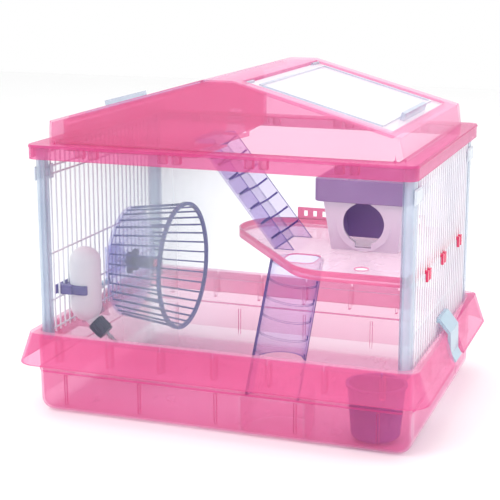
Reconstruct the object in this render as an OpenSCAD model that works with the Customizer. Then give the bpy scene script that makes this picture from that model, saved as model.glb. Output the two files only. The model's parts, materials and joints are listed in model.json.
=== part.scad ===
// Two-storey house-shaped hamster cage: a pink base tray, clear walls, wire sides
// and a gabled roof with two hatches. Millimetres, +Z up, origin at the centre of
// the footprint on the ground, the front of the cage facing -Y.

/* [Overall] */
// Width over the tray's skirt, left to right
cage_w = 478; // [420:5:560]
// Depth over the tray's skirt, front to back
cage_d = 376; // [340:2:450]
// Height of the base tray, ground to rim
tray_h = 96; // [84:1:120]
// Height from the ground to the underside of the roof's eaves
eaves_z = 310; // [290:1:380]
// Rise of the roof from its eaves to its ridge
roof_rise = 78; // [64:1:100]

/* [Base tray] */
// Thickness of the tray's walls and floor
tray_wall = 2.5; // [2:0.1:3.5]
// How far the skirt's lip stands out from the tray's wall
skirt_reach = 18; // [14:0.5:24]
// Height of the skirt
skirt_h = 35; // [26:1:44]
// Corner radius of the tray
tray_r = 18; // [16:1:30]
// Depth of the seat below the rim on which the walls stand
seat_drop = 10; // [7:0.5:14]
// Draft of the tray's walls over their height
tray_draft = 1.5; // [1:0.5:4]
// Radius of the landing step moulded under the lower ladder
step_r = 38; // [34:1:46]
// Height of the landing step
step_z = 48; // [30:1:56]

/* [Walls] */
// Thickness of the clear front and back walls
panel_t = 2.5; // [2:0.1:3.5]
// How far a clear wall returns around its corner
post_return = 20; // [14:1:26]
// Width of the corner post seen from the front
post_face = 12; // [8:1:18]
// Diameter of the cage wire
wire_d = 2.2; // [1.6:0.1:3]
// Number of upright wires in a side
wire_n = 25; // [19:2:31]

/* [Roof] */
// Thickness of the roof shell
roof_t = 2.2; // [1.8:0.1:3]
// Height of the roof's low end walls above the eaves
end_wall_h = 27; // [22:1:34]
// How far the eaves stand out from the roof's walls
eaves_reach = 16.5; // [13:0.5:20]
// Height of the eaves' skirt
eaves_h = 16; // [12:1:22]
// Width of the flat strip along the ridge
ridge_w = 34; // [20:1:50]
// Width of the roof's border at the sides and foot of a hatch recess
border = 14; // [11:0.5:20]
// Thickness of a hatch
hatch_t = 2.4; // [2:0.1:3]

/* [Inside] */
// Height of the loft's floor above the ground
loft_z = 182.5; // [174:0.5:200]
// Outer width of the upper ladder
upper_ladder_w = 72; // [60:1:78]
// Incline of the upper ladder in degrees
upper_ladder_a = 51.5; // [49:0.5:56]
// Outer radius of the half-round lower ladder
lower_ladder_r = 30.5; // [27:0.5:33]
// Incline of the lower ladder in degrees
lower_ladder_a = 57; // [56:0.5:62]
// Width of the sleeping house at its foot
house_w = 78; // [68:1:84]
// Depth of the sleeping house at its foot
house_d = 72; // [60:1:84]
// Height of the sleeping house's body
house_h = 66; // [60:1:72]
// Radius of the sleeping house's door
door_r = 24; // [20:0.5:26]
// Outer radius of the food dish's rim
dish_r = 34; // [28:1:36]
// Height of the food dish
dish_h = 62; // [40:1:70]

/* [Running wheel] */
// Outer radius of the wheel's open rim
wheel_r = 80; // [66:1:84]
// Outer radius of the wheel's closed back
wheel_back_r = 70; // [58:1:74]
// Width of the wheel along its axle
wheel_w = 76; // [60:1:90]
// Number of treads around the wheel
tread_n = 36; // [28:4:60]
// Radius of the wheel's axle
axle_r = 3; // [2.5:0.1:4]

/* [Water bottle] */
// Outer radius of the bottle
bottle_r = 18.5; // [15:0.5:20]
// Height of the bottle's body
bottle_h = 90; // [76:1:100]
// Tilt of the bottle's spout below level, in degrees
spout_a = 42; // [36:1:50]

/* [Hidden] */
$fn = 96;
small_fn = 48;
wire_fn = 16;
eps = 0.01;
run_gap = 0.06;
slip_gap = 0.3;

PINK = [0.90, 0.36, 0.62, 0.75];
PALE_PINK = [0.97, 0.72, 0.82, 0.6];
CLEAR = [0.9, 0.95, 0.97, 0.35];
WIRE = [0.95, 0.95, 0.96];
PURPLE = [0.45, 0.36, 0.68];
LILAC = [0.66, 0.58, 0.79];
MILK = [0.90, 0.88, 0.92];
NAVY = [0.10, 0.13, 0.20];
STEEL = [0.75, 0.76, 0.78];
RUBBER = [0.2, 0.2, 0.22];

// Base tray
body_w = cage_w - 2 * skirt_reach;
body_d = cage_d - 2 * skirt_reach;
rim_reach = skirt_reach - 12;
rim_r = tray_r - 4;
skirt_z = tray_h - skirt_h;
bead_z = skirt_z - 12;
inner_w = body_w - 2 * tray_wall;
inner_d = body_d - 2 * tray_wall;
seat_z = tray_h - seat_drop;
wall_gap = 3.5;
seat_reach = wall_gap + 5;
foot_fillet = 16;
upper_rib_x = [for (i = [-3 : 3]) i * cage_w / 7.6];
lower_rib_x = [for (i = [-2 : 2]) i * cage_w / 5.2];
side_rib_y = [for (i = [-1, 1]) i * cage_d / 3.8];
rib_t = 3;

// Clear walls and wire sides
frame_w = inner_w - 2 * wall_gap;
frame_d = inner_d - 2 * wall_gap;
frame_h = eaves_z - seat_z - 0.05;
wire_r = wire_d / 2;
grille_x = frame_w / 2 - 2;
grille_span = frame_d - 2 * post_return - 5;
wire_pitch = grille_span / (wire_n - 1);
cross_x = grille_x - wire_d + 0.4;
mid_wire_z = loft_z - wire_r - 0.5;
low_wire_z = seat_z + 40;
catch_wire_z = seat_z + 22;
cross_wire_z = [seat_z + 6, low_wire_z, mid_wire_z, eaves_z - 37, eaves_z - 28, eaves_z - 6];

// Latches
latch_w = 46;
latch_gap = 3;
cheek_t = 4;
latch_x = body_w / 2 + skirt_reach - 10.5;
latch_z = skirt_z + 9;
latch_pin_r = 1.5;

// Roof
eave_gap_side = 3;
eave_gap_front = 8;
eave_w = frame_w + 2 * (eave_gap_side + 2);
eave_d = frame_d + 2 * (eave_gap_front + 2);
eave_r = 12;
eave_t = 2;
roof_w = eave_w - 2 * eaves_reach;
roof_d = eave_d - 2 * eaves_reach;
shoulder_in = 5;
shoulder_z = eaves_z + end_wall_h;
ridge_z = eaves_z + roof_rise;
gable_in = 5;
slope_run = roof_w / 2 - shoulder_in - ridge_w / 2;
slope_a = atan((ridge_z - shoulder_z) / slope_run);
top_border = 5;
recess_l = slope_run / cos(slope_a) - top_border - border;
recess_w = roof_d - 2 * gable_in - 2 * border - 8;
recess_depth = 5;
recess_lip = 8;
shelf_w = 5;
peg_r = 1.5;
peg_u = 3.2;
peg_w = -2.6;
peg_l = 1.6;
lug_x = [for (i = [-1.5 : 1 : 1.5]) i * frame_w / 4.4];

// Attic tray
attic_x0 = -(roof_w / 2 - roof_t - shelf_w - 8);
attic_y = roof_d / 2 - roof_t - shelf_w - 9;
attic_z = eaves_z - 8;
attic_t = 2;
attic_edge_front = -28;
attic_edge_back = -50;

// Loft
loft_t = 2;
loft_rim_h = 11;
loft_rim_drop = 2.5;
loft_edge_x = grille_x - wire_r - 3.4;
loft_r = 57;
loft_c1 = [loft_edge_x - 198, 50];
loft_c2 = [loft_edge_x - 90, -inner_d / 2 + 74.5];
loft_top = loft_z + loft_t;
hook_at = [for (y = [loft_c2[1] + 5, -6, loft_c1[1] + 38]) floor((y + grille_span / 2) / wire_pitch)];

// Ladders
ladder_t = 2;
upper_ladder_h = 19;
upper_foot = [loft_edge_x - 182, -7];
rung_pitch = 21;
rung_t = 1.8;
upper_rise = attic_z + 6 - loft_top;
notch_x = upper_foot[0] - upper_rise / tan(upper_ladder_a) - 3;
notch_gap = 6;
lower_x = loft_edge_x - 143;
lower_foot_y = -inner_d / 2 - 0.6;
lower_top_y = lower_foot_y + (loft_z - 0.4 - step_z) / tan(lower_ladder_a);
lower_end_z = 84;

// Sleeping house
house_x = loft_edge_x - 81;
house_y = 16;
house_flare = 9;
house_t = 2;
cap_over = 8;
cap_h = 18;
door_z = loft_top + 33;

// Running wheel
wheel_y = gap_y(14);
wheel_z = 136;
wheel_back_x = -grille_x + 22;
hub_r = 6;
bracket_x = -cross_x + wire_r + 0.3;
bracket_peg_z = 15;

// Water bottle
bottle_x = -grille_x + 22.5;
bottle_y = wire_y(4);
bottle_z = low_wire_z - 30;
neck_r = 8;
neck_from = [bottle_x + 4, bottle_y, bottle_z + 2];
cap_from = 9;
cap_l = 19;
cap_r = 11;
spout_r = 2.6;
spout_l = 18;
ball_r = 1.75;
mouth_r = ball_r - 0.3;
strap_h = 11;
strap_z = low_wire_z + wire_r + 0.4;

// Food dish
dish_at = [inner_w / 2 - tray_draft - dish_r - 12, -inner_d / 2 + tray_draft + dish_r + 10];

// Place of an upright wire, counted from the front, and of the gap after it
function wire_y(i) = -grille_span / 2 + i * wire_pitch;
function gap_y(i) = wire_y(i + 0.5);
// Height of the roof's outer slope at a distance from the ridge
function slope_z(x) = ridge_z - max(0, abs(x) - ridge_w / 2) * tan(slope_a);
// How far the tray's wall stands in from its rim at a height
function draft_at(z) = tray_draft * (1 - z / tray_h);

module mirrored(axis) {
    children();
    mirror(axis) children();
}

// Flat rectangle with round corners
module round_rect(w, d, r) {
    square([w - 2 * r, d], center = true);
    square([w, d - 2 * r], center = true);
    for (x = [-1, 1], y = [-1, 1])
        translate([x * (w / 2 - r), y * (d / 2 - r)]) circle(r);
}

// Sweeps a profile around a rounded rectangle; x = r in the profile is the outline
module round_ring(w, d, r) {
    for (mx = [0, 1], my = [0, 1])
        mirror([mx, 0, 0]) mirror([0, my, 0])
            translate([w / 2 - r, d / 2 - r, 0]) rotate_extrude(angle = 90) children();
    for (m = [0, 1]) {
        mirror([m, 0, 0]) translate([w / 2 - r, d / 2 - r, 0])
            rotate([90, 0, 0]) linear_extrude(d - 2 * r) children();
        mirror([0, m, 0]) translate([-w / 2 + r, d / 2 - r, 0])
            rotate([90, 0, 90]) linear_extrude(w - 2 * r) children();
    }
}

// Flat plate in the X-Z plane, its thickness centred on y
module xz_plate(t, y = 0) {
    translate([0, y + t / 2, 0]) rotate([90, 0, 0]) linear_extrude(t) children();
}

module tray_profile() {
    r = tray_r;
    foot = r - draft_at(foot_fillet);
    in = foot - tray_wall;
    difference() {
        intersection() {
            union() {
                translate([foot - foot_fillet, foot_fillet]) circle(foot_fillet);
                square([foot - foot_fillet + 0.1, 2 * foot_fillet]);
                polygon([[0, foot_fillet], [foot, foot_fillet], [r, tray_h], [0, tray_h]]);
            }
            square([r + 1, tray_h + 1]);
        }
        translate([foot - foot_fillet, foot_fillet]) circle(foot_fillet - tray_wall);
        translate([-1, tray_wall]) square([foot - foot_fillet + 1, tray_h]);
        polygon([[-1, foot_fillet], [in, foot_fillet], [r - tray_wall, tray_h], [r - tray_wall, tray_h + 1],
            [-1, tray_h + 1]]);
    }
    translate([r - draft_at(bead_z) - 0.5, bead_z]) square([1.7, 2.4]);
}

module skirt_profile() {
    out = rim_r + skirt_reach - rim_reach;
    polygon([[rim_r - 2.4, tray_h - tray_wall], [rim_r - 2.4, tray_h], [rim_r, tray_h],
        [out, skirt_z], [out - 2.4, skirt_z]]);
}

module base_tray() {
    color(PINK) difference() {
        union() {
            round_ring(body_w, body_d, tray_r) tray_profile();
            round_ring(body_w + 2 * rim_reach, body_d + 2 * rim_reach, rim_r) skirt_profile();
            translate([0, 0, tray_h - tray_wall]) linear_extrude(tray_wall) difference() {
                round_rect(body_w + 2 * rim_reach - 1, body_d + 2 * rim_reach - 1, rim_r - 0.5);
                round_rect(body_w - 1, body_d - 1, tray_r - 0.5);
            }
            linear_extrude(tray_wall)
                square([body_w - 2 * tray_r + 1, body_d - 2 * tray_r + 1], center = true);
            mirrored([0, 1, 0]) {
                for (x = upper_rib_x)
                    tray_ribs(x);
                for (x = lower_rib_x)
                    translate([x - rib_t / 2, inner_d / 2 - tray_draft - rib_t, foot_fillet * 0.6])
                        cube([rib_t, rib_t + 1, bead_z - foot_fillet * 0.6 - 3]);
            }
            mirrored([1, 0, 0]) for (y = side_rib_y)
                rotate([0, 0, -90]) translate([0, (body_w - body_d) / 2, 0]) tray_ribs(y);
            mirrored([1, 0, 0]) mirrored([0, 1, 0]) latch_cheek();
            landing_step();
        }
        mirrored([1, 0, 0]) {
            translate([body_w / 2 + 0.5, -latch_w / 2 - latch_gap, skirt_z - 1])
                cube([skirt_reach + 1, latch_w + 2 * latch_gap, skirt_h + 2]);
            translate([latch_x, 0, latch_z]) rotate([90, 0, 0])
                cylinder(r = latch_pin_r + 0.02, h = latch_w + 30, center = true, $fn = small_fn);
        }
    }
}

// A rib under the skirt, with its seat for the wall inside the tray
module tray_ribs(x) {
    translate([x - rib_t / 2, body_d / 2 - 0.5, skirt_z + 3]) cube([rib_t, rim_reach, skirt_h - 4]);
    translate([x - rib_t / 2, inner_d / 2 - seat_reach, skirt_z])
        cube([rib_t, seat_reach + 0.5, seat_z - skirt_z]);
}

module latch_cheek() {
    y = latch_w / 2 + latch_gap;
    xz_plate(cheek_t, y + cheek_t / 2)
        polygon([[body_w / 2 - 0.5, skirt_z + 1], [body_w / 2 + skirt_reach - 1.5, skirt_z + 1],
            [body_w / 2 + rim_reach - 1, tray_h - 1], [body_w / 2 - 0.5, tray_h - 1]]);
}

// Round-ended step against the front wall that the lower ladder stands on
module landing_step() {
    foot_y = -body_d / 2 + draft_at(foot_fillet);
    intersection() {
        difference() {
            translate([0, 0, 1]) linear_extrude(step_z - 1) step_plan(step_r);
            translate([0, 0, tray_wall]) linear_extrude(step_z - 2 * tray_wall) step_plan(step_r - tray_wall);
        }
        rotate([90, 0, 90]) linear_extrude(cage_w / 2) {
            translate([foot_y + foot_fillet, foot_fillet]) circle(foot_fillet - 1);
            polygon([[foot_y + foot_fillet, 1], [0, 1], [0, tray_h], [-body_d / 2 + 1, tray_h],
                [foot_y + 1, foot_fillet]]);
        }
    }
}

module step_plan(r) {
    y0 = -inner_d / 2 - 2;
    translate([lower_x - r, y0]) square([2 * r, 36]);
    intersection() {
        translate([lower_x, y0 + 36]) circle(r);
        translate([lower_x - r, y0]) square([2 * r, 36 + r]);
    }
}

// Clear wall of the front, with its corner posts; the back is its mirror image
module clear_wall() {
    translate([0, 0, seat_z]) linear_extrude(frame_h) {
        intersection() {
            difference() {
                round_rect(frame_w, frame_d, 7);
                round_rect(frame_w - 2 * panel_t, frame_d - 2 * panel_t, 7 - panel_t);
            }
            translate([-frame_w / 2, -frame_d / 2]) square([frame_w, post_return]);
        }
        mirrored([1, 0]) translate([frame_w / 2 - post_face, -frame_d / 2 + panel_t / 2]) square([2, 11]);
    }
}

module front_wall() {
    color(CLEAR) clear_wall();
}

module back_wall() {
    color(CLEAR) mirror([0, 1, 0]) clear_wall();
}

module grille() {
    color(WIRE) {
        for (i = [0 : wire_n - 1])
            translate([grille_x, wire_y(i), seat_z]) cylinder(r = wire_r, h = frame_h - 1, $fn = wire_fn);
        for (z = cross_wire_z)
            translate([cross_x, 0, z]) rotate([90, 0, 0])
                cylinder(r = wire_r, h = grille_span + 4, center = true, $fn = wire_fn);
        translate([2 * grille_x - cross_x, 0, catch_wire_z]) rotate([90, 0, 0])
            cylinder(r = wire_r, h = wire_pitch * 4 + 4, center = true, $fn = wire_fn);
    }
}

module left_grille() {
    mirror([1, 0, 0]) grille();
}

module right_grille() {
    grille();
}

// Clip that holds the two top cross wires against a corner post
module corner_clip() {
    low = cross_wire_z[3];
    high = cross_wire_z[4];
    mid = (low + high) / 2;
    y0 = wire_y(0);
    x1 = frame_w / 2 + 0.1;
    inner_x = cross_x - wire_r - 0.3;
    neck = [wire_y(0) + wire_r + 0.8, wire_y(1) - wire_r - 0.8];
    translate([x1, y0 - 20, mid - 8]) cube([1.4, 32, 16]);
    translate([x1, y0 - 18.6, mid - 6.6]) cube([2.4, 29.2, 13.2]);
    translate([inner_x - 2, neck[0], low + wire_r + 0.4])
        cube([x1 - inner_x + 2.5, neck[1] - neck[0], high - low - wire_d - 0.8]);
    translate([inner_x - 2, neck[0], low - 4]) cube([2, neck[1] - neck[0], high - low + 8]);
}

module corner_clips() {
    color(CLEAR) mirrored([1, 0, 0]) mirrored([0, 1, 0]) corner_clip();
}

// Side latch on the right; it hooks over the grille's catch wire
module latch() {
    x = latch_x;
    hook_z = catch_wire_z + wire_r + 0.4;
    catch_x = grille_x + wire_r + 0.6;
    difference() {
        union() {
            translate([x, 0, latch_z]) rotate([90, 0, 0])
                cylinder(r = 4, h = latch_w, center = true, $fn = small_fn);
            xz_plate(latch_w) polygon([[x - 2, latch_z], [x + 4, latch_z], [x + 3, tray_h + 2],
                [catch_x + 4, hook_z + 4], [catch_x, hook_z + 4], [catch_x, hook_z],
                [catch_x + 2.5, hook_z], [x, tray_h]]);
            xz_plate(latch_w - 12) polygon([[x + 2, latch_z - 3], [x + 4, latch_z + 2],
                [x + 9.5, latch_z - 7], [x + 7, latch_z - 8.5]]);
        }
        translate([x, 0, latch_z]) rotate([90, 0, 0])
            cylinder(r = latch_pin_r + run_gap, h = latch_w + 2, center = true, $fn = small_fn);
    }
}

module left_latch() {
    color(CLEAR) mirror([1, 0, 0]) latch();
}

module right_latch() {
    color(CLEAR) latch();
}

module latch_pins() {
    color(STEEL) mirrored([1, 0, 0]) translate([latch_x, 0, latch_z]) rotate([90, 0, 0])
        cylinder(r = latch_pin_r, h = latch_w + 2 * (latch_gap + cheek_t), center = true, $fn = small_fn);
}

// Solid of the gabled roof above the eaves, drawn in by a distance on every side
module gable_block(inset) {
    foot = roof_w / 2 - inset;
    shoulder = foot - shoulder_in;
    low = eaves_z - (inset > 0 ? 1 : 0);
    drop = inset / cos(slope_a);
    intersection() {
        xz_plate(roof_d) polygon([[-foot, low], [foot, low], [shoulder, slope_z(shoulder) - drop],
            [ridge_w / 2, ridge_z - drop], [-ridge_w / 2, ridge_z - drop],
            [-shoulder, slope_z(shoulder) - drop]]);
        rotate([90, 0, 90]) translate([0, 0, -roof_w / 2]) linear_extrude(roof_w)
            polygon([[-roof_d / 2 + inset, low], [roof_d / 2 - inset, low],
                [roof_d / 2 - gable_in - inset, ridge_z], [-roof_d / 2 + gable_in + inset, ridge_z]]);
        linear_extrude(ridge_z + 1) round_rect(roof_w - 2 * inset, roof_d - 2 * inset, 14 - inset);
    }
}

// Carries its children onto the right-hand slope: x down the slope, z square to it
module on_slope() {
    translate([ridge_w / 2, 0, ridge_z]) rotate([0, slope_a, 0]) translate([top_border, 0, 0]) children();
}

module roof_profile() {
    r = eave_r;
    translate([r - eave_t - 3, eaves_z]) square([eave_t + 3, eave_t]);
    translate([r - eave_t, eaves_z + eave_t - eaves_h]) square([eave_t, eaves_h]);
    translate([r - 0.5, eaves_z + eave_t - 3]) square([1.2, 1.6]);
}

module roof() {
    color(PINK) difference() {
        union() {
            difference() {
                gable_block(0);
                gable_block(roof_t);
            }
            round_ring(eave_w, eave_d, eave_r) roof_profile();
            translate([0, 0, eaves_z]) linear_extrude(eave_t) difference() {
                round_rect(eave_w - 2, eave_d - 2, eave_r - 1);
                square([roof_w - 2 * (roof_t + shelf_w), roof_d - 2 * (roof_t + shelf_w)], center = true);
            }
            mirrored([1, 0, 0]) on_slope()
                translate([-roof_t, -recess_w / 2 - roof_t, -recess_depth - roof_t])
                    cube([recess_l + 2 * roof_t, recess_w + 2 * roof_t, recess_depth + roof_t - 0.1]);
            mirrored([0, 1, 0]) for (x = lug_x, side = [-1, 1])
                translate([x + side * 8 - 4.5, frame_d / 2 + slip_gap, eaves_z - 11])
                    cube([9, eave_gap_front - slip_gap + 0.5, 11.5]);
        }
        mirrored([1, 0, 0]) on_slope() {
            translate([0, -recess_w / 2, -recess_depth]) cube([recess_l, recess_w, recess_depth + 3]);
            translate([recess_lip, -recess_w / 2 + recess_lip, -20])
                cube([recess_l - 2 * recess_lip, recess_w - 2 * recess_lip, 30]);
            translate([peg_u, 0, peg_w]) rotate([90, 0, 0])
                cylinder(r = peg_r + run_gap, h = recess_w + 2 * peg_l + 0.6, center = true, $fn = small_fn);
        }
    }
}

// Clear hatch of the right-hand slope, hinged on two pegs beside the ridge
module hatch() {
    side = 1.2;
    knuckle_l = 24;
    plate_z = -recess_depth + 0.15;
    pan = 14;
    on_slope() {
        translate([peg_u, -recess_w / 2 + side, plate_z])
            cube([recess_l - peg_u - side, recess_w - 2 * side, hatch_t]);
        translate([pan, -recess_w / 2 + pan, plate_z]) difference() {
            cube([recess_l - 2 * pan, recess_w - 2 * pan, hatch_t + 2]);
            translate([2.4, 2.4, hatch_t]) cube([recess_l - 2 * pan - 4.8, recess_w - 2 * pan - 4.8, 3]);
        }
        mirrored([0, 1, 0]) translate([peg_u, recess_w / 2 - side, peg_w]) rotate([90, 0, 0]) {
            cylinder(r = 2.2, h = knuckle_l, $fn = small_fn);
            translate([0, 0, -side - peg_l]) cylinder(r = peg_r, h = side + peg_l + 1, $fn = small_fn);
        }
        grip_l = recess_w * 0.4;
        translate([recess_l - 12, -grip_l / 2, plate_z + hatch_t - 0.2]) cube([5, grip_l, 9]);
    }
}

module left_hatch() {
    color(CLEAR) mirror([1, 0, 0]) hatch();
}

module right_hatch() {
    color(CLEAR) hatch();
}

// Floor of the attic with tall front and back walls, hung inside the roof's left half
module attic_tray() {
    x0 = attic_x0;
    gap = roof_t / cos(slope_a) + 0.6;
    flange_z = eaves_z + eave_t + 0.05;
    left_top = slope_z(x0) - (recess_depth + roof_t) / cos(slope_a) - 2;
    color(PINK) {
        translate([0, 0, attic_z]) linear_extrude(attic_t)
            polygon([[x0, -attic_y], [attic_edge_front, -attic_y],
                [attic_edge_front, upper_foot[1] - upper_ladder_w / 2 - notch_gap],
                [notch_x, upper_foot[1] - upper_ladder_w / 2 - notch_gap],
                [notch_x, upper_foot[1] + upper_ladder_w / 2 + notch_gap],
                [attic_edge_back, upper_foot[1] + upper_ladder_w / 2 + notch_gap],
                [attic_edge_back, attic_y], [x0, attic_y]]);
        xz_plate(attic_t, -attic_y + attic_t / 2) attic_front_plan(x0, gap);
        xz_plate(attic_t, attic_y - attic_t / 2)
            polygon([[x0, attic_z], [attic_edge_back, attic_z],
                [attic_edge_back, slope_z(attic_edge_back) - gap], [x0, slope_z(x0) - gap]]);
        translate([x0, -attic_y, attic_z]) cube([attic_t, 2 * attic_y, left_top - attic_z]);
        mirrored([0, 1, 0]) translate([x0, attic_y - attic_t / 2, flange_z])
            cube([attic_edge_back - x0, 12, attic_t]);
        translate([x0 - 11, -attic_y + 8, flange_z]) cube([12, 2 * attic_y - 16, attic_t]);
    }
}

// Front wall of the attic, stepped up to the right, with a barred window by the ridge
module attic_front_plan(x0, gap) {
    low = eaves_z + 19;
    mid = eaves_z + 33;
    top = ridge_z - 30;
    difference() {
        polygon([[x0, attic_z], [attic_edge_front, attic_z], [attic_edge_front + 3, eaves_z + 2],
            [31, low], [31, low + 5], [50, low + 16], [50, slope_z(50) - gap],
            [ridge_w / 2, ridge_z - gap], [-ridge_w / 2, ridge_z - gap], [x0, slope_z(x0) - gap]]);
        polygon([[4, low + 3], [28, low + 3], [25, mid], [7, mid]]);
        polygon([[7.5, mid + 2], [24.5, mid + 2], [22, top], [10, top]]);
    }
}

// Plan of the loft: two round ends joined by their common tangent, square at the grille
module loft_plan(grow) {
    r = loft_r + grow;
    side = r - 0.05;
    along = (loft_c2 - loft_c1) / norm(loft_c2 - loft_c1);
    out = [along[1], -along[0]] * side;
    translate(loft_c1) circle(r);
    translate(loft_c2) circle(r);
    polygon([[loft_c1[0], loft_c1[1] + side], loft_c1, loft_c1 + out, loft_c2 + out, loft_c2,
        [loft_c2[0], loft_c2[1] - side], [loft_edge_x + grow, loft_c2[1] - side],
        [loft_edge_x + grow, loft_c1[1] + side]]);
}

module loft() {
    rim_z = loft_z - loft_rim_drop;
    rail_x = [loft_c1[0] - 2, loft_edge_x - 36];
    rail_y = loft_c1[1] + loft_r - 2.5;
    color(PALE_PINK) {
        difference() {
            union() {
                translate([0, 0, loft_z]) linear_extrude(loft_t) loft_plan(-0.5);
                translate([0, 0, rim_z]) linear_extrude(loft_rim_h) difference() {
                    loft_plan(0);
                    loft_plan(-2);
                }
            }
            translate([lower_x + 4, lower_top_y + 7, loft_z - 1]) linear_extrude(loft_t + 2)
                round_rect(38, 42, 10);
            translate([house_x + 18, -99, loft_z - 1]) cylinder(r = 8, h = loft_t + 2);
        }
        translate([rail_x[0], rail_y, rim_z + loft_rim_h - 1]) difference() {
            cube([rail_x[1] - rail_x[0], 2.4, 15]);
            for (x = [8 : 12 : rail_x[1] - rail_x[0] - 12])
                translate([x, -1, 4]) cube([5, 5, 7]);
        }
        for (i = hook_at, side = [0, 1]) loft_hook(gap_y(i + side));
    }
}

// Hook that passes between two wires and hangs on the middle cross wire
module loft_hook(y) {
    w = wire_pitch - wire_d - 3;
    x1 = grille_x + wire_r + 0.8;
    z = mid_wire_z + wire_r + 0.3;
    translate([loft_edge_x - 2, y - w / 2, z]) cube([x1 + 2.5 - loft_edge_x + 2, w, 3.2]);
    translate([x1, y - w / 2, z - 9]) cube([2.5, w, 9.5]);
}

module upper_ladder() {
    w = upper_ladder_w;
    h = upper_ladder_h;
    run = upper_rise / sin(upper_ladder_a);
    color(PURPLE) intersection() {
        translate([upper_foot[0], upper_foot[1], loft_top + 0.2]) rotate([0, upper_ladder_a - 90, 0]) {
            translate([0, 0, -30]) linear_extrude(run + 60) difference() {
                translate([0, -w / 2]) square([h, w]);
                translate([ladder_t, -w / 2 + ladder_t]) square([h, w - 2 * ladder_t]);
            }
            for (z = [rung_pitch / 2 : rung_pitch : run])
                translate([0.5, 0, z]) linear_extrude(rung_t) difference() {
                    translate([0, -w / 2 + 0.5]) square([h - 2, w - 1]);
                    translate([ladder_t + 1.2, -w / 2 + ladder_t + 1.6])
                        square([h, w - 2 * ladder_t - 3.2]);
                }
        }
        translate([notch_x, -w, loft_top + 0.2]) cube([200, 2 * w, upper_rise]);
    }
}

module lower_ladder() {
    r = lower_ladder_r;
    rise = loft_z - 0.4 - step_z;
    run = rise / sin(lower_ladder_a);
    color(PURPLE) intersection() {
        difference() {
            translate([lower_x, lower_foot_y, step_z]) rotate([lower_ladder_a - 90, 0, 0]) {
                translate([0, 0, -40]) linear_extrude(run + 80) half_ring(r, r - ladder_t);
                for (z = [rung_pitch / 2 + rung_pitch : rung_pitch : run])
                    translate([0, 0, z]) linear_extrude(rung_t) half_ring(r - 0.5, r - ladder_t - 1.3);
            }
            translate([lower_x - r + 4, -inner_d, 0]) cube([2 * r - 8, 2 * inner_d, lower_end_z]);
            translate([0, 0, loft_z - loft_rim_drop - slip_gap]) linear_extrude(loft_rim_h) difference() {
                loft_plan(slip_gap);
                loft_plan(-2 - slip_gap);
            }
        }
        translate([lower_x - r, -inner_d / 2 + tray_draft + 0.6, step_z + 0.2]) cube([2 * r, 200, rise - 0.2]);
    }
}

module half_ring(outer, inner) {
    difference() {
        circle(outer);
        circle(inner);
        translate([-outer - 1, -2 * outer]) square([2 * outer + 2, 2 * outer]);
    }
}

// Box that widens upwards from w by d, standing on z = 0
module flared_box(w, d, h, flare) {
    intersection() {
        xz_plate(2 * d + 4 * flare)
            polygon([[-w / 2, 0], [w / 2, 0], [w / 2 + flare, h], [-w / 2 - flare, h]]);
        rotate([90, 0, 90]) translate([0, 0, -w]) linear_extrude(2 * w)
            polygon([[-d / 2, 0], [d / 2, 0], [d / 2 + flare, h], [-d / 2 - flare, h]]);
    }
}

module door_plan(r, grow) {
    circle(r + grow);
    translate([-9 - grow / 2, 0]) square([18 + grow, house_h]);
    translate([-9.5, -r - 4]) square([19, r]);
}

module house_body() {
    z = loft_top + 0.1;
    color(MILK) translate([house_x, house_y, z]) difference() {
        union() {
            flared_box(house_w, house_d, house_h, house_flare);
            xz_plate(10, -house_d / 2) intersection() {
                union() {
                    translate([0, door_z - z]) circle(door_r + 8);
                    translate([-door_r - 8, door_z - z]) square([2 * door_r + 16, house_h]);
                }
                translate([-60, 0.5]) square([120, house_h - 3]);
            }
        }
        translate([0, 0, -eps])
            flared_box(house_w - 2 * house_t, house_d - 2 * house_t, house_h + 1, house_flare);
        translate([0, -house_d / 2, 0]) xz_plate(60) translate([0, door_z - z]) door_plan(door_r, 0);
        translate([0, -house_d / 2 + 13, 0]) xz_plate(18)
            translate([-door_r - 9, 2]) square([2 * door_r + 18, house_h]);
    }
}

module house_roof() {
    z = loft_top + house_h + 0.2;
    w = house_w + 2 * house_flare + 2 * cap_over;
    d = house_d + 2 * house_flare + 2 * cap_over;
    lap = 8;
    color(LILAC) translate([house_x, house_y, z - lap]) difference() {
        linear_extrude(cap_h + lap) round_rect(w, d, 9);
        translate([0, 0, -1]) linear_extrude(lap + 1) round_rect(w - 5, d - 5, 6.5);
        translate([0, 0, lap - eps]) linear_extrude(cap_h - 2.5) round_rect(w - 20, d - 20, 5);
    }
}

module wheel_drum() {
    x0 = wheel_back_x;
    x1 = x0 + wheel_w;
    t = 1.6;
    color(PURPLE) translate([0, wheel_y, wheel_z]) {
        for (i = [0 : tread_n - 1])
            rotate([i * 360 / tread_n, 0, 0]) xz_plate(1.8)
                polygon([[x0 + 1, wheel_back_r - t - 0.6], [x1 - 1, wheel_r - t - 1.4],
                    [x1 - 1, wheel_r - 1.4], [x0 + 1, wheel_back_r - 0.6]]);
        translate([x1 - 4, 0, 0]) x_ring(wheel_r, wheel_r - 4.5, 4);
        translate([x0, 0, 0]) x_ring(wheel_back_r, wheel_back_r - 3.5, 4);
        translate([x0, 0, 0]) x_ring(wheel_back_r - 1, hub_r + run_gap, 1.8);
        for (r = [22 : 12 : wheel_back_r - 8])
            translate([x0, 0, 0]) x_ring(r + 0.8, r - 0.8, 3);
    }
}

// Ring about the X axis
module x_ring(outer, inner, l) {
    rotate([0, 90, 0]) difference() {
        cylinder(r = outer, h = l);
        translate([0, 0, -1]) cylinder(r = inner, h = l + 2);
    }
}

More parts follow.
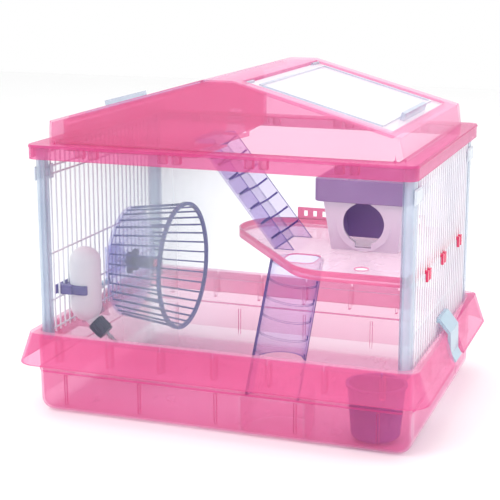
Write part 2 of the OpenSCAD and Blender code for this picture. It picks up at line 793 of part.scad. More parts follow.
module wheel_hub() {
    x0 = wheel_back_x;
    color(PURPLE) translate([x0, wheel_y, wheel_z]) rotate([0, 90, 0]) difference() {
        union() {
            translate([0, 0, -4]) cylinder(r = hub_r, h = 38);
            translate([0, 0, 1.9]) {
                cylinder(r = 11, h = 4);
                for (a = [45 : 90 : 315]) rotate([0, 0, a]) translate([12, 0, 0]) cylinder(r = 5.5, h = 5);
            }
        }
        translate([0, 0, -5]) cylinder(r = axle_r + run_gap, h = 41);
    }
}

module wheel_axle() {
    x0 = bracket_x + 2.8;
    color(STEEL) translate([x0, wheel_y, wheel_z]) rotate([0, 90, 0])
        cylinder(r = axle_r, h = wheel_back_x + 41 - x0);
}

module axle_cap() {
    color(PINK) translate([wheel_back_x + 34.5, wheel_y, wheel_z]) rotate([0, 90, 0]) difference() {
        union() {
            cylinder(r = 5, h = 5);
            translate([0, 0, 5]) cylinder(r1 = 4.4, r2 = 3.2, h = 4);
        }
        translate([0, 0, -1]) cylinder(r = axle_r + 0.02, h = 7.6);
    }
}

// Plate inside the grille that carries the axle, with pegs that pass between the wires
module wheel_bracket() {
    reach = bracket_x + grille_x + wire_r + 3.5;
    color(PURPLE) translate([bracket_x, wheel_y, wheel_z]) difference() {
        union() {
            translate([0, -17, -20]) cube([4, 34, 40]);
            rotate([0, 90, 0]) cylinder(r = 10, h = 13);
            for (y = [-1, 1], z = [-1, 1])
                translate([-reach, y * wire_pitch, z * bracket_peg_z]) rotate([0, 90, 0])
                    cylinder(r = 2.5, h = reach + 1);
        }
        translate([2.7, 0, 0]) rotate([0, 90, 0]) cylinder(r = axle_r + 0.02, h = 20);
    }
}

// Plate outside the grille that the bracket's pegs snap into
module wheel_clamp() {
    x1 = -grille_x - wire_r - 0.3;
    color(PURPLE) translate([x1 - 3.4, wheel_y, wheel_z]) difference() {
        translate([0, -16, -19]) cube([3.4, 32, 38]);
        for (y = [-1, 1], z = [-1, 1])
            translate([-1, y * wire_pitch, z * bracket_peg_z]) rotate([0, 90, 0]) cylinder(r = 2.52, h = 6);
    }
}

// Carries its children to the bottle's neck, z running out along the spout
module on_spout() {
    translate(neck_from) rotate([0, 90 + spout_a, 0]) children();
}

module bottle_profile(inset) {
    r = bottle_r - inset;
    intersection() {
        union() {
            translate([0, bottle_r]) square([r, bottle_h - 2 * bottle_r]);
            translate([0, bottle_r]) circle(r);
            translate([0, bottle_h - bottle_r]) circle(r);
        }
        square([r, bottle_h + 1]);
    }
}

module bottle() {
    color(MILK) difference() {
        union() {
            translate([bottle_x, bottle_y, bottle_z - 4]) rotate_extrude() bottle_profile(0);
            on_spout() cylinder(r = neck_r, h = cap_from + 13);
        }
        translate([bottle_x, bottle_y, bottle_z - 4]) rotate_extrude() bottle_profile(1.4);
        on_spout() cylinder(r = neck_r - 2, h = cap_from + 20);
    }
}

module bottle_cap() {
    color(NAVY) on_spout() difference() {
        union() {
            translate([0, 0, cap_from + 0.6]) cylinder(r = cap_r - 1, h = cap_l);
            for (a = [15 : 30 : 345]) rotate([0, 0, a]) translate([cap_r - 1.3, 0, cap_from + 1.6])
                cylinder(r = 1.3, h = cap_l - 4, $fn = 16);
        }
        translate([0, 0, cap_from - 1]) cylinder(r = neck_r + run_gap, h = 17);
        translate([0, 0, cap_from]) cylinder(r = spout_r + 0.02, h = cap_l + 2);
    }
}

module bottle_seal() {
    color(RUBBER) on_spout() translate([0, 0, cap_from + 13.05]) difference() {
        cylinder(r = neck_r - 0.2, h = 1.3);
        translate([0, 0, -1]) cylinder(r = spout_r + 0.1, h = 4);
    }
}

module bottle_spout() {
    z0 = cap_from + 14.4;
    end = cap_from + cap_l + spout_l;
    color(STEEL) on_spout() difference() {
        union() {
            translate([0, 0, z0]) cylinder(r = neck_r - 0.6, h = 1.5);
            translate([0, 0, z0]) cylinder(r = spout_r, h = end - z0, $fn = small_fn);
        }
        translate([0, 0, z0 - 1]) cylinder(r = ball_r + 0.1, h = end - z0, $fn = small_fn);
        translate([0, 0, z0]) cylinder(r = mouth_r, h = end - z0 + 1, $fn = small_fn);
    }
}

module spout_ball() {
    seat = 1 + sqrt(pow(ball_r, 2) - pow(mouth_r, 2)) + 0.02;
    color(STEEL) on_spout() translate([0, 0, cap_from + cap_l + spout_l - seat])
        sphere(r = ball_r, $fn = small_fn);
}

// Open clip around the bottle with two arms that pass through the grille
module bottle_strap() {
    arm_x = -grille_x - wire_r - 3;
    arm_w = 8;
    color(LILAC) difference() {
        union() {
            translate([bottle_x, bottle_y, strap_z]) cylinder(r = bottle_r + 2.6, h = strap_h);
            for (side = [-1, 1])
                translate([arm_x, bottle_y + side * 1.5 * wire_pitch - arm_w / 2, strap_z])
                    cube([bottle_x - arm_x - 8, arm_w, strap_h]);
        }
        translate([bottle_x, bottle_y, strap_z - 1]) cylinder(r = bottle_r + slip_gap, h = strap_h + 2);
        translate([bottle_x + bottle_r * 0.55, bottle_y - 30, strap_z - 1]) cube([30, 60, strap_h + 2]);
        translate([-grille_x - wire_r - 1, bottle_y - wire_pitch - 1, strap_z - 1])
            cube([wire_d + 2.4, 2 * wire_pitch + 2, strap_h + 2]);
    }
}

module strap_clip() {
    x0 = -grille_x - wire_r - 5.1;
    color(LILAC) translate([x0, bottle_y - 2 * wire_pitch, strap_z]) cube([2, 4 * wire_pitch, strap_h]);
}

module food_dish() {
    r = dish_r - 2;
    color(PURPLE) translate([dish_at[0], dish_at[1], tray_wall + 0.05]) rotate_extrude() difference() {
        union() {
            polygon([[0, 0], [r - 9, 0], [r - 5, 4], [r, dish_h - 3], [r, dish_h], [0, dish_h]]);
            translate([r - 2, dish_h - 3]) square([4, 3]);
        }
        polygon([[-1, 2.5], [r - 10, 2.5], [r - 7.2, 5.5], [r - 2.2, dish_h + 1], [-1, dish_h + 1]]);
    }
}

base_tray();
front_wall();
back_wall();
left_grille();
right_grille();
corner_clips();
left_latch();
right_latch();
latch_pins();
roof();
left_hatch();
right_hatch();
attic_tray();
loft();
upper_ladder();
lower_ladder();
house_body();
house_roof();
wheel_drum();
wheel_hub();
wheel_axle();
axle_cap();
wheel_bracket();
wheel_clamp();
bottle();
bottle_cap();
bottle_seal();
bottle_spout();
spout_ball();
bottle_strap();
strap_clip();
food_dish();
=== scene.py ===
import json
import math

import bpy
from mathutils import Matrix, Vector


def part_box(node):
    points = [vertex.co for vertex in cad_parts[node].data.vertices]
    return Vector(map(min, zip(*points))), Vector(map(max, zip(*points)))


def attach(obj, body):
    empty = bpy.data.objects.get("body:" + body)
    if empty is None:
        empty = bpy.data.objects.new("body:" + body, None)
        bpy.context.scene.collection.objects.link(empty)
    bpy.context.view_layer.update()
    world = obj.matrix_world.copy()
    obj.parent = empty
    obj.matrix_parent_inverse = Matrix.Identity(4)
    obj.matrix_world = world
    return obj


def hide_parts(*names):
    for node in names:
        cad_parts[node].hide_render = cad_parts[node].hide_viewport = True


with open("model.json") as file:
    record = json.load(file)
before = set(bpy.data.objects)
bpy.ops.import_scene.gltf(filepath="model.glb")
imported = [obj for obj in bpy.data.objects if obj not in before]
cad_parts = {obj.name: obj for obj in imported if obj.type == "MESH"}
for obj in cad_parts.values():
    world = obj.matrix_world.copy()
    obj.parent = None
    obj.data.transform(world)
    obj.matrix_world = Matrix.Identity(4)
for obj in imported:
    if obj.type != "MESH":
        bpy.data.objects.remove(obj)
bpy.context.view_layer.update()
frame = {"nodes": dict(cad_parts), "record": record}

bl_info = {
    "name": "Two-storey hamster cage",
    "version": (1, 0, 0),
    "blender": (4, 5, 0),
    "location": "3D View > Sidebar > Hamster Cage",
    "description": "Finished pieces, materials and studio for the packed hamster cage",
    "category": "Object",
}

NODES = frame["nodes"]

# Sizes the operators need to tell one part of a moulding from another, in metres and degrees
SKIRT_REACH = 0.018
SKIRT_HEIGHT = 0.035
TRAY_SKIN = 0.001
FLOOR_TOP = 0.004
RIB_AREA = (0.000002, 0.00012)
POST_FROM = 0.2015
EAVES_HEIGHT = 0.016
BORDER_AREA = 0.00016
HATCH_EDGE_AREA = 0.0012
HOOK_REACH = 0.0115
RUNG_WIDTH = 0.0021
LOWER_LADDER_ANGLE = 57.0
DOOR_DEPTH = 0.014
WHEEL_BACK = 0.004

# Studio, in metres, watts and degrees
LAMPS = (
    ("key", (-1.2, -1.6, 2.0), 1.6, 26.0),
    ("fill", (1.9, -1.2, 1.2), 1.6, 12.0),
    ("top", (0.1, 0.3, 2.2), 2.0, 16.0),
)
LAMP_AIM = Vector((0.0, 0.0, 0.18))
CAMERA_PLACE = (0.48858, -1.42001, 0.52435)
CAMERA_TURN = (76.78, 0.0, 19.64)
CAMERA_LENS = 92.97
CAMERA_SENSOR = 36.0


# ---------------------------------------------------------------- settings

class CageSettings(bpy.types.PropertyGroup):
    edge: bpy.props.FloatProperty(
        name="Edge radius", description="Rounding of the moulded edges",
        default=0.0006, min=0.0001, max=0.002, unit="LENGTH", subtype="DISTANCE")
    segments: bpy.props.IntProperty(
        name="Edge segments", description="Steps in each rounded edge", default=2, min=1, max=4)
    pink_open: bpy.props.FloatProperty(
        name="Pink see-through", description="Share of light that passes the pink mouldings",
        default=0.78, min=0.0, max=1.0, subtype="FACTOR")
    clear_open: bpy.props.FloatProperty(
        name="Clear see-through", description="Share of light that passes the clear walls",
        default=0.99, min=0.0, max=1.0, subtype="FACTOR")
    violet_open: bpy.props.FloatProperty(
        name="Violet see-through", description="Share of light that passes the violet mouldings",
        default=0.86, min=0.0, max=1.0, subtype="FACTOR")
    scuff: bpy.props.FloatProperty(
        name="Scuffing", description="Strength of the fine handling marks", default=0.35, min=0.0, max=1.0,
        subtype="FACTOR")


def settings():
    return bpy.context.scene.cage_settings


# ---------------------------------------------------------------- materials

def srgb(r, g, b):
    """Linear colour of an 8-bit display colour."""
    def one(v):
        v = v / 255
        return v / 12.92 if v <= 0.04045 else ((v + 0.055) / 1.055) ** 2.4
    return (one(r), one(g), one(b), 1.0)


def link(tree, a, a_name, b, b_name):
    tree.links.new(a.outputs[a_name], b.inputs[b_name])


def noise(tree, coords, scale, detail, stretch=(1, 1, 1)):
    mapping = tree.nodes.new("ShaderNodeMapping")
    mapping.inputs["Scale"].default_value = stretch
    link(tree, coords, "Object", mapping, "Vector")
    node = tree.nodes.new("ShaderNodeTexNoise")
    node.inputs["Scale"].default_value = scale
    node.inputs["Detail"].default_value = detail
    link(tree, mapping, "Vector", node, "Vector")
    return node


def ranged(tree, source, name, low, high, start=0.3, end=0.7):
    node = tree.nodes.new("ShaderNodeMapRange")
    node.inputs["From Min"].default_value = start
    node.inputs["From Max"].default_value = end
    node.inputs["To Min"].default_value = low
    node.inputs["To Max"].default_value = high
    link(tree, source, name, node, "Value")
    return node


def plastic(name, colour, deep, open_share=0.0, tint=None, rough=(0.12, 0.24), bump=0.04, grain=900.0,
            coat=0.0, specular=0.5):
    """Moulded plastic: cloudy colour, flow lines, handling marks and a fine moulded grain."""
    material = bpy.data.materials.get("finish_" + name)
    if material:
        return material
    material = bpy.data.materials.new("finish_" + name)
    material.use_nodes = True
    tree = material.node_tree
    tree.nodes.clear()
    coords = tree.nodes.new("ShaderNodeTexCoord")
    shader = tree.nodes.new("ShaderNodeBsdfPrincipled")
    cloud = noise(tree, coords, 14.0, 3.0)
    flow = noise(tree, coords, 30.0, 2.0, (1.0, 1.0, 0.15))
    blend = tree.nodes.new("ShaderNodeMix")
    blend.data_type = "RGBA"
    blend.inputs["A"].default_value = colour
    blend.inputs["B"].default_value = deep
    share = ranged(tree, cloud, "Fac", 0.0, 1.0, 0.35, 0.7)
    link(tree, share, "Result", blend, "Factor")
    link(tree, blend, "Result", shader, "Base Color")
    scuffs = noise(tree, coords, 160.0, 4.0, (1.0, 0.2, 3.0))
    marks = ranged(tree, scuffs, "Fac", 0.0, settings().scuff * 0.12, 0.56, 0.72)
    base_rough = ranged(tree, flow, "Fac", rough[0], rough[1])
    total = tree.nodes.new("ShaderNodeMath")
    total.operation = "ADD"
    link(tree, base_rough, "Result", total, 0)
    link(tree, marks, "Result", total, 1)
    link(tree, total, "Value", shader, "Roughness")
    fine = noise(tree, coords, grain, 2.0)
    bumps = tree.nodes.new("ShaderNodeBump")
    bumps.inputs["Strength"].default_value = bump
    bumps.inputs["Distance"].default_value = 0.0004
    link(tree, fine, "Fac", bumps, "Height")
    wave = tree.nodes.new("ShaderNodeBump")
    wave.inputs["Strength"].default_value = 0.08
    wave.inputs["Distance"].default_value = 0.002
    link(tree, flow, "Fac", wave, "Height")
    link(tree, bumps, "Normal", wave, "Normal")
    link(tree, wave, "Normal", shader, "Normal")
    shader.inputs["Coat Weight"].default_value = coat
    shader.inputs["Coat Roughness"].default_value = 0.06
    shader.inputs["Specular IOR Level"].default_value = specular
    shader.inputs["IOR"].default_value = 1.49
    output = tree.nodes.new("ShaderNodeOutputMaterial")
    if open_share <= 0:
        link(tree, shader, "BSDF", output, "Surface")
        return material
    through = tree.nodes.new("ShaderNodeBsdfTransparent")
    through.inputs["Color"].default_value = tint or (1.0, 1.0, 1.0, 1.0)
    rim = tree.nodes.new("ShaderNodeLayerWeight")
    rim.inputs["Blend"].default_value = 0.28
    link(tree, wave, "Normal", rim, "Normal")
    share = ranged(tree, rim, "Facing", open_share, open_share * 0.35, 0.15, 1.0)
    mix = tree.nodes.new("ShaderNodeMixShader")
    link(tree, share, "Result", mix, 0)
    tree.links.new(shader.outputs["BSDF"], mix.inputs[1])
    tree.links.new(through.outputs["BSDF"], mix.inputs[2])
    link(tree, mix, "Shader", output, "Surface")
    return material


def steel(name):
    """Turned stainless steel with fine rings of machining."""
    material = bpy.data.materials.get("finish_" + name)
    if material:
        return material
    material = bpy.data.materials.new("finish_" + name)
    material.use_nodes = True
    tree = material.node_tree
    shader = tree.nodes["Principled BSDF"]
    coords = tree.nodes.new("ShaderNodeTexCoord")
    lines = noise(tree, coords, 700.0, 3.0, (1.0, 0.05, 0.05))
    cloud = noise(tree, coords, 60.0, 3.0)
    tone = tree.nodes.new("ShaderNodeMix")
    tone.data_type = "RGBA"
    tone.inputs["A"].default_value = srgb(205, 207, 211)
    tone.inputs["B"].default_value = srgb(172, 175, 181)
    link(tree, cloud, "Fac", tone, "Factor")
    link(tree, tone, "Result", shader, "Base Color")
    rough = ranged(tree, lines, "Fac", 0.14, 0.32)
    link(tree, rough, "Result", shader, "Roughness")
    bumps = tree.nodes.new("ShaderNodeBump")
    bumps.inputs["Strength"].default_value = 0.06
    bumps.inputs["Distance"].default_value = 0.0002
    link(tree, lines, "Fac", bumps, "Height")
    link(tree, bumps, "Normal", shader, "Normal")
    shader.inputs["Metallic"].default_value = 1.0
    return material


def pink_wall():
    return plastic("tray_pink", srgb(234, 132, 182), srgb(228, 120, 172), settings().pink_open,
                   srgb(253, 226, 238), rough=(0.16, 0.28))


def pink_floor():
    return plastic("tray_pink_thin", srgb(252, 206, 226), srgb(249, 194, 218), settings().pink_open + 0.12,
                   srgb(255, 250, 253), rough=(0.16, 0.28))


def pink_dense():
    return plastic("tray_pink_dense", srgb(218, 88, 152), srgb(212, 76, 142), settings().pink_open * 0.65,
                   srgb(246, 188, 216), rough=(0.14, 0.24))


def roof_sheet():
    return plastic("roof_pink", srgb(242, 170, 206), srgb(238, 158, 198), settings().pink_open + 0.07,
                   srgb(254, 235, 244), rough=(0.12, 0.22))


def roof_dense():
    return plastic("roof_pink_dense", srgb(216, 88, 150), srgb(210, 76, 140), settings().pink_open * 0.62,
                   srgb(246, 190, 216), rough=(0.12, 0.2))


def roof_band():
    return plastic("roof_pink_band", srgb(224, 116, 168), srgb(218, 104, 158), settings().pink_open * 0.86,
                   srgb(249, 206, 226), rough=(0.12, 0.2))


def attic_pink():
    return plastic("attic_pink", srgb(230, 134, 180), srgb(224, 120, 170), settings().pink_open * 0.94,
                   srgb(250, 218, 232), rough=(0.14, 0.24))


def loft_sheet():
    return plastic("loft_pink", srgb(246, 226, 238), srgb(240, 212, 228), 0.9,
                   srgb(254, 242, 248), rough=(0.1, 0.2))


def loft_dense():
    return plastic("loft_pink_dense", srgb(238, 128, 172), srgb(230, 108, 156), 0.6,
                   srgb(251, 200, 220), rough=(0.1, 0.2))


def hook_pink():
    return plastic("hook_pink", srgb(238, 74, 120), srgb(230, 62, 108), 0.25,
                   srgb(250, 170, 196), rough=(0.12, 0.2))


def clear_sheet():
    return plastic("clear_sheet", srgb(196, 206, 216), srgb(182, 194, 206), settings().clear_open,
                   srgb(254, 254, 255), rough=(0.05, 0.1), bump=0.01, specular=0.4)


def hatch_sheet():
    return plastic("hatch_sheet", srgb(252, 252, 254), srgb(246, 247, 250), settings().clear_open * 0.74,
                   srgb(254, 254, 255), rough=(0.06, 0.12), bump=0.02)


def clear_edge():
    return plastic("clear_edge", srgb(214, 222, 232), srgb(194, 204, 218), 0.6,
                   srgb(232, 239, 246), rough=(0.06, 0.12), bump=0.01)


def white_coat():
    return plastic("white_coat", srgb(236, 239, 243), srgb(222, 227, 233), rough=(0.28, 0.4), bump=0.12,
                   grain=1500.0, coat=0.25)


def white_plastic():
    return plastic("white_plastic", srgb(236, 240, 246), srgb(222, 228, 237), 0.4,
                   srgb(238, 242, 248), rough=(0.14, 0.24))


def latch_clear():
    return plastic("latch_clear", srgb(206, 228, 238), srgb(190, 216, 230), 0.4,
                   srgb(220, 238, 246), rough=(0.14, 0.24))


def violet_sheet():
    return plastic("violet_sheet", srgb(168, 150, 208), srgb(154, 134, 198), settings().violet_open + 0.08,
                   srgb(245, 241, 252), rough=(0.12, 0.22))


def violet_line():
    return plastic("violet_line", srgb(82, 64, 154), srgb(70, 52, 142), settings().violet_open * 0.2,
                   srgb(176, 160, 222), rough=(0.16, 0.26), specular=0.25)


def wheel_sheet():
    return plastic("wheel_sheet", srgb(186, 184, 236), srgb(174, 170, 228), settings().violet_open + 0.07,
                   srgb(242, 242, 254), rough=(0.12, 0.22))


def wheel_line():
    return plastic("wheel_line", srgb(72, 58, 156), srgb(60, 46, 146), settings().violet_open * 0.2,
                   srgb(172, 164, 224), rough=(0.16, 0.26), specular=0.25)


def violet_solid():
    return plastic("violet_solid", srgb(84, 48, 128), srgb(72, 38, 114), 0.1,
                   srgb(190, 160, 216), rough=(0.2, 0.32), specular=0.2)


def dish_violet():
    return plastic("dish_violet", srgb(112, 70, 172), srgb(100, 60, 160), 0.2,
                   srgb(200, 170, 226), rough=(0.18, 0.3))


def lilac():
    return plastic("lilac", srgb(152, 126, 174), srgb(142, 116, 164), rough=(0.26, 0.4), bump=0.08)


def strap_violet():
    return plastic("strap_violet", srgb(118, 106, 176), srgb(106, 94, 164), 0.25,
                   srgb(206, 200, 236), rough=(0.18, 0.3))


def milk():
    return plastic("milk", srgb(244, 238, 249), srgb(237, 229, 244), 0.16,
                   srgb(246, 240, 250), rough=(0.34, 0.48), bump=0.1)


# Darker purple for the house's inner faces behind the door, set to the flat purple seen in the door
# opening.
def inside_purple():
    return plastic("house_inside_purple", srgb(176, 152, 222), srgb(164, 138, 212), 0.1,
                   srgb(214, 198, 236), rough=(0.34, 0.48), bump=0.1)


def bottle_frost():
    return plastic("bottle_frost", srgb(252, 252, 255), srgb(246, 248, 252), 0.12,
                   srgb(252, 253, 255), rough=(0.34, 0.46), bump=0.08)


def navy():
    return plastic("navy", srgb(30, 38, 74), srgb(22, 28, 60), rough=(0.3, 0.42), specular=0.15)


def pink_solid():
    return plastic("pink_solid", srgb(236, 106, 164), srgb(226, 92, 152), 0.2,
                   srgb(246, 180, 210), rough=(0.18, 0.3))


def seal_rubber():
    return plastic("seal_rubber", srgb(70, 70, 74), srgb(56, 56, 60), rough=(0.55, 0.7), bump=0.2)


# ---------------------------------------------------------------- mesh helpers

def only(piece):
    """Makes piece the one selected and active object."""
    bpy.ops.object.select_all(action="DESELECT")
    piece.select_set(True)
    bpy.context.view_layer.objects.active = piece


def apply_all(piece):
    only(piece)
    for modifier in list(piece.modifiers):
        bpy.ops.object.modifier_apply(modifier=modifier.name)


def smooth(piece, angle=35.0):
    only(piece)
    bpy.ops.object.shade_smooth_by_angle(angle=math.radians(angle))


def settle(piece):
    """Writes the object's place, turn and scale into its mesh."""
    only(piece)
    bpy.ops.object.transform_apply(location=True, rotation=True, scale=True)


def body_of(node):
    for body, nodes in frame["record"]["behaviour"]["bodies"].items():
        if node in nodes:
            return body
    raise ValueError(f"no body holds {node}")


def dress(piece, node, *materials):
    """Gives piece its materials, and the body of the CAD node it stands for."""
    piece.data.materials.clear()
    for material in materials:
        piece.data.materials.append(material)
    for face in piece.data.polygons:
        face.material_index = min(face.material_index, len(materials) - 1)
    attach(piece, body_of(node))


def moulded(node, *materials, edge=None, angle=32.0, merge=0.00002, shade=35.0):
    """Copy of a CAD node with flat faces joined up and its edges rounded."""
    piece = bpy.data.objects.new(f"{node}_moulded", NODES[node].data.copy())
    bpy.context.scene.collection.objects.link(piece)
    only(piece)
    bpy.ops.object.mode_set(mode="EDIT")
    bpy.ops.mesh.select_all(action="SELECT")
    bpy.ops.mesh.remove_doubles(threshold=merge)
    bpy.ops.mesh.dissolve_limited(angle_limit=math.radians(0.6))
    bpy.ops.mesh.select_all(action="SELECT")
    bpy.ops.mesh.normals_make_consistent(inside=False)
    bpy.ops.object.mode_set(mode="OBJECT")
    for face in piece.data.polygons:
        face.material_index = 0
    bevel = piece.modifiers.new("edge", "BEVEL")
    bevel.width = edge or settings().edge
    bevel.segments = settings().segments
    bevel.limit_method = "ANGLE"
    bevel.angle_limit = math.radians(angle)
    apply_all(piece)
    smooth(piece, shade)
    even = piece.modifiers.new("even", "WEIGHTED_NORMAL")
    even.keep_sharp = True
    apply_all(piece)
    dress(piece, node, *materials)
    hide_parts(node)
    return piece


def narrow(piece, face, width):
    """Whether a face is a strip thinner than width."""
    rim = sum((piece.data.vertices[a].co - piece.data.vertices[b].co).length for a, b in face.edge_keys)
    return 2 * face.area / rim < width


def paint(piece, index, test):
    """Gives one of its materials to the faces that pass the test."""
    for face in piece.data.polygons:
        if test(face):
            face.material_index = index


# ---------------------------------------------------------------- operators

class CAGE_OT_tray(bpy.types.Operator):
    """Base tray with its skirt, ribs and landing step"""
    bl_idname = "cage.tray"
    bl_label = "Base tray"

    def execute(self, context):
        tray = moulded("base_tray", pink_wall(), pink_dense(), pink_floor())
        low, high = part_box("base_tray")
        skirt_foot = high.z - SKIRT_HEIGHT
        half_x = high.x - SKIRT_REACH
        half_y = high.y - SKIRT_REACH

        def inside(c):
            return abs(c.x) < half_x - TRAY_SKIN and abs(c.y) < half_y - TRAY_SKIN

        def thin(face):
            behind_front = face.center.y > 0.012 - half_y
            underside = face.normal.z < -0.9 and face.center.z < FLOOR_TOP / 2
            return inside(face.center) and (face.center.z < FLOOR_TOP or behind_front) or underside

        def edge_line(face):
            c = face.center
            rim = c.z > high.z - 0.0014 and abs(face.normal.z) > 0.6 and not inside(c)
            lip = abs(c.z - skirt_foot) < 0.0012 and face.normal.z < -0.5
            bead = skirt_foot - 0.0125 < c.z < skirt_foot - 0.0090 and not inside(c)
            return rim or lip or bead

        def rib(face):
            across = abs(face.normal.x) > 0.9 and abs(face.center.x) < half_x - 0.012
            return across and RIB_AREA[0] < face.area < RIB_AREA[1]

        paint(tray, 2, thin)
        paint(tray, 1, edge_line)
        paint(tray, 1, rib)
        return {"FINISHED"}


class CAGE_OT_walls(bpy.types.Operator):
    """Clear front and back walls with denser looking edges"""
    bl_idname = "cage.walls"
    bl_label = "Clear walls"

    def execute(self, context):
        for node in ("front_wall", "back_wall"):
            wall = moulded(node, clear_sheet(), clear_edge(), edge=0.0004)
            paint(wall, 1, lambda face: abs(face.normal.z) > 0.5 or abs(face.center.x) > POST_FROM)
        return {"FINISHED"}


class CAGE_OT_grilles(bpy.types.Operator):
    """Wire sides, coated white"""
    bl_idname = "cage.grilles"
    bl_label = "Wire sides"

    def execute(self, context):
        for node in ("left_grille", "right_grille"):
            moulded(node, white_coat(), edge=0.0002, angle=60.0, shade=60.0)
        moulded("corner_clips", white_plastic())
        return {"FINISHED"}


class CAGE_OT_latches(bpy.types.Operator):
    """Side latches on their pins"""
    bl_idname = "cage.latches"
    bl_label = "Latches"

    def execute(self, context):
        for node in ("left_latch", "right_latch"):
            moulded(node, latch_clear(), edge=0.0005)
        moulded("latch_pins", steel("pin_steel"), edge=0.0002)
        return {"FINISHED"}


class CAGE_OT_roof(bpy.types.Operator):
    """Gabled roof with its hatches and the attic tray inside it"""
    bl_idname = "cage.roof"
    bl_label = "Roof"

    def execute(self, context):
        roof = moulded("roof", roof_sheet(), roof_dense(), roof_band(), edge=0.0009)
        low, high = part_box("roof")
        eave = low.z + EAVES_HEIGHT

        def dense(face):
            c = face.center
            shelf = abs(c.z - eave) < 0.0028 and abs(face.normal.z) < 0.95
            lip = c.z < low.z + 0.001
            lug = low.z + 0.002 < c.z < eave - 0.003 and abs(c.y) < high.y - 0.0035
            return shelf or lip or lug and abs(c.x) < high.x - 0.02

        def border(face):
            narrow_face = face.area < BORDER_AREA and face.center.z > eave + 0.02
            return narrow_face and abs(face.normal.z) < 0.98

        paint(roof, 2, lambda face: face.center.z < eave)
        paint(roof, 1, dense)
        paint(roof, 1, border)
        moulded("attic_tray", attic_pink())
        for node in ("left_hatch", "right_hatch"):
            hatch = moulded(node, hatch_sheet(), clear_edge(), edge=0.0006)
            paint(hatch, 1, lambda face: face.area < HATCH_EDGE_AREA)
        return {"FINISHED"}


class CAGE_OT_loft(bpy.types.Operator):
    """Loft with its rim, rail and hooks, and both ladders"""
    bl_idname = "cage.loft"
    bl_label = "Loft and ladders"

    def execute(self, context):
        loft = moulded("loft", loft_sheet(), loft_dense(), hook_pink(), edge=0.0006)
        low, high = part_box("loft")
        paint(loft, 1, lambda face: abs(face.normal.z) < 0.5)
        paint(loft, 2, lambda face: face.center.x > high.x - HOOK_REACH)
        upper = moulded("upper_ladder", violet_sheet(), violet_line(), edge=0.0003)
        paint(upper, 1, lambda face: narrow(upper, face, RUNG_WIDTH))
        lower = moulded("lower_ladder", violet_sheet(), violet_line(), edge=0.0003)
        low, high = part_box("lower_ladder")
        lean = math.radians(90.0 - LOWER_LADDER_ANGLE)
        along = Vector((0.0, math.sin(lean), math.cos(lean)))
        foot = Vector(((low.x + high.x) / 2, low.y, low.z))
        across = along.cross(Vector((1.0, 0.0, 0.0)))
        reach = max((v.co - foot).dot(across) for v in lower.data.vertices)
        outer = (high.x - low.x) / 2

        def line(face):
            way = face.center - foot
            sunk = reach - way.dot(across)
            radius = math.hypot(way.x, min(sunk, 0.0))
            rung = abs(face.normal.dot(along)) > 0.8
            lip = abs(face.normal.dot(across)) > 0.9 and radius > outer - 0.003 and abs(sunk) < 0.002
            side = abs(way.x) > outer - 0.0009
            return rung or lip or side

        paint(lower, 1, line)
        return {"FINISHED"}


class CAGE_OT_house(bpy.types.Operator):
    """Sleeping house and its cap"""
    bl_idname = "cage.house"
    bl_label = "Sleeping house"

    def execute(self, context):
        house = moulded("house_body", milk(), inside_purple(), edge=0.0012)
        low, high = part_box("house_body")
        middle = (low + high) / 2

        def inner(face):
            out = Vector((face.center.x - middle.x, face.center.y - middle.y, 0))
            return out.dot(face.normal) < -0.01 and face.center.y > low.y + DOOR_DEPTH

        # Inner faces behind the door take the darker purple.
        paint(house, 1, inner)
        moulded("house_roof", lilac(), edge=0.0016)
        return {"FINISHED"}


class CAGE_OT_wheel(bpy.types.Operator):
    """Running wheel with its hub, axle, bracket and clamp"""
    bl_idname = "cage.wheel"
    bl_label = "Running wheel"

    def execute(self, context):
        drum = moulded("wheel_drum", wheel_sheet(), wheel_line(), edge=0.0003)
        low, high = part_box("wheel_drum")
        paint(drum, 1, lambda face: face.center.x > low.x + WHEEL_BACK)
        moulded("wheel_hub", violet_solid(), edge=0.0005)
        moulded("wheel_axle", steel("axle_steel"), edge=0.0003)
        moulded("axle_cap", pink_solid(), edge=0.0005)
        moulded("wheel_bracket", wheel_sheet())
        moulded("wheel_clamp", wheel_sheet())
        return {"FINISHED"}


class CAGE_OT_bottle(bpy.types.Operator):
    """Drinking bottle with its cap, seal, spout and ball, and the strap that holds it"""
    bl_idname = "cage.bottle"
    bl_label = "Drinking bottle"

    def execute(self, context):
        moulded("bottle", bottle_frost(), edge=0.0004)
        moulded("bottle_cap", navy(), edge=0.0003)
        moulded("bottle_seal", seal_rubber(), edge=0.0002)
        moulded("bottle_spout", steel("spout_steel"), edge=0.0002)
        moulded("spout_ball", steel("ball_steel"), edge=0.0001, angle=80.0)
        moulded("bottle_strap", strap_violet())
        moulded("strap_clip", strap_violet())
        return {"FINISHED"}


class CAGE_OT_dish(bpy.types.Operator):
    """Food dish on the tray's floor"""
    bl_idname = "cage.dish"
    bl_label = "Food dish"

    def execute(self, context):
        moulded("food_dish", dish_violet(), edge=0.0012)
        return {"FINISHED"}


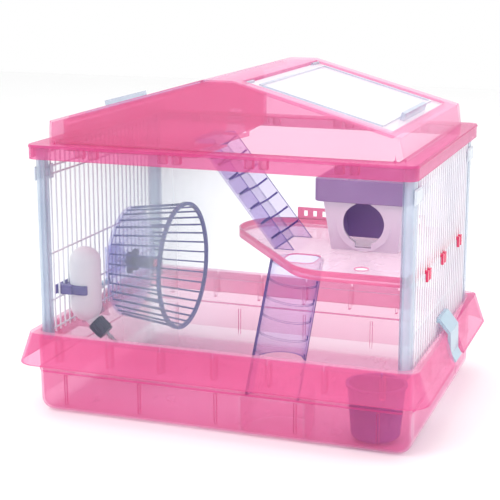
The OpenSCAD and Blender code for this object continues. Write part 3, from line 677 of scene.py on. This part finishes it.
class CAGE_OT_stage(bpy.types.Operator):
    """Pale floor, soft studio lights and the camera"""
    bl_idname = "cage.stage"
    bl_label = "Studio"

    def execute(self, context):
        bpy.ops.object.select_all(action="DESELECT")
        bpy.ops.mesh.primitive_plane_add(size=7.0, location=(0, 0, -0.0004))
        floor = context.active_object
        floor.name = "studio_floor"
        settle(floor)
        material = bpy.data.materials.new("studio_floor")
        material.use_nodes = True
        tree = material.node_tree
        shader = tree.nodes["Principled BSDF"]
        coords = tree.nodes.new("ShaderNodeTexCoord")
        cloud = noise(tree, coords, 2.0, 3.0)
        rough = ranged(tree, cloud, "Fac", 0.55, 0.65)
        link(tree, rough, "Result", shader, "Roughness")
        shader.inputs["Base Color"].default_value = (0.93, 0.93, 0.93, 1.0)
        floor.data.materials.append(material)
        world = context.scene.world or bpy.data.worlds.new("studio")
        context.scene.world = world
        world.use_nodes = True
        back = world.node_tree.nodes["Background"]
        back.inputs["Color"].default_value = (1.0, 1.0, 1.0, 1.0)
        back.inputs["Strength"].default_value = 1.0
        for name, place, size, power in LAMPS:
            lamp = bpy.data.lights.new(name, "AREA")
            lamp.shape = "DISK"
            lamp.size = size
            lamp.energy = power
            holder = bpy.data.objects.new(name, lamp)
            context.scene.collection.objects.link(holder)
            holder.location = place
            aim = LAMP_AIM - Vector(place)
            holder.rotation_euler = aim.to_track_quat("-Z", "Y").to_euler()
        camera = bpy.data.cameras.new("camera")
        camera.lens = CAMERA_LENS
        camera.sensor_width = CAMERA_SENSOR
        holder = bpy.data.objects.new("camera", camera)
        context.scene.collection.objects.link(holder)
        holder.location = CAMERA_PLACE
        holder.rotation_euler = [math.radians(turn) for turn in CAMERA_TURN]
        context.scene.camera = holder
        context.scene.view_settings.view_transform = "Standard"
        context.scene.cycles.transparent_max_bounces = 64
        return {"FINISHED"}


class CAGE_PT_panel(bpy.types.Panel):
    """Buttons for every piece of the cage"""
    bl_idname = "CAGE_PT_panel"
    bl_label = "Hamster Cage"
    bl_space_type = "VIEW_3D"
    bl_region_type = "UI"
    bl_category = "Hamster Cage"

    def draw(self, context):
        layout = self.layout
        for name in CageSettings.__annotations__:
            layout.prop(context.scene.cage_settings, name)
        for operator in OPERATORS:
            layout.operator(operator.bl_idname)


OPERATORS = (CAGE_OT_tray, CAGE_OT_walls, CAGE_OT_grilles, CAGE_OT_latches, CAGE_OT_roof, CAGE_OT_loft,
             CAGE_OT_house, CAGE_OT_wheel, CAGE_OT_bottle, CAGE_OT_dish, CAGE_OT_stage)
CLASSES = (CageSettings,) + OPERATORS + (CAGE_PT_panel,)


def register():
    for cls in CLASSES:
        bpy.utils.register_class(cls)
    bpy.types.Scene.cage_settings = bpy.props.PointerProperty(type=CageSettings)


def unregister():
    del bpy.types.Scene.cage_settings
    for cls in reversed(CLASSES):
        bpy.utils.unregister_class(cls)


def main():
    register()
    for operator in OPERATORS:
        group, name = operator.bl_idname.split(".")
        result = getattr(getattr(bpy.ops, group), name)()
        if result != {"FINISHED"}:
            raise RuntimeError(f"{operator.bl_label} did not finish")


if __name__ == "__main__":
    main()
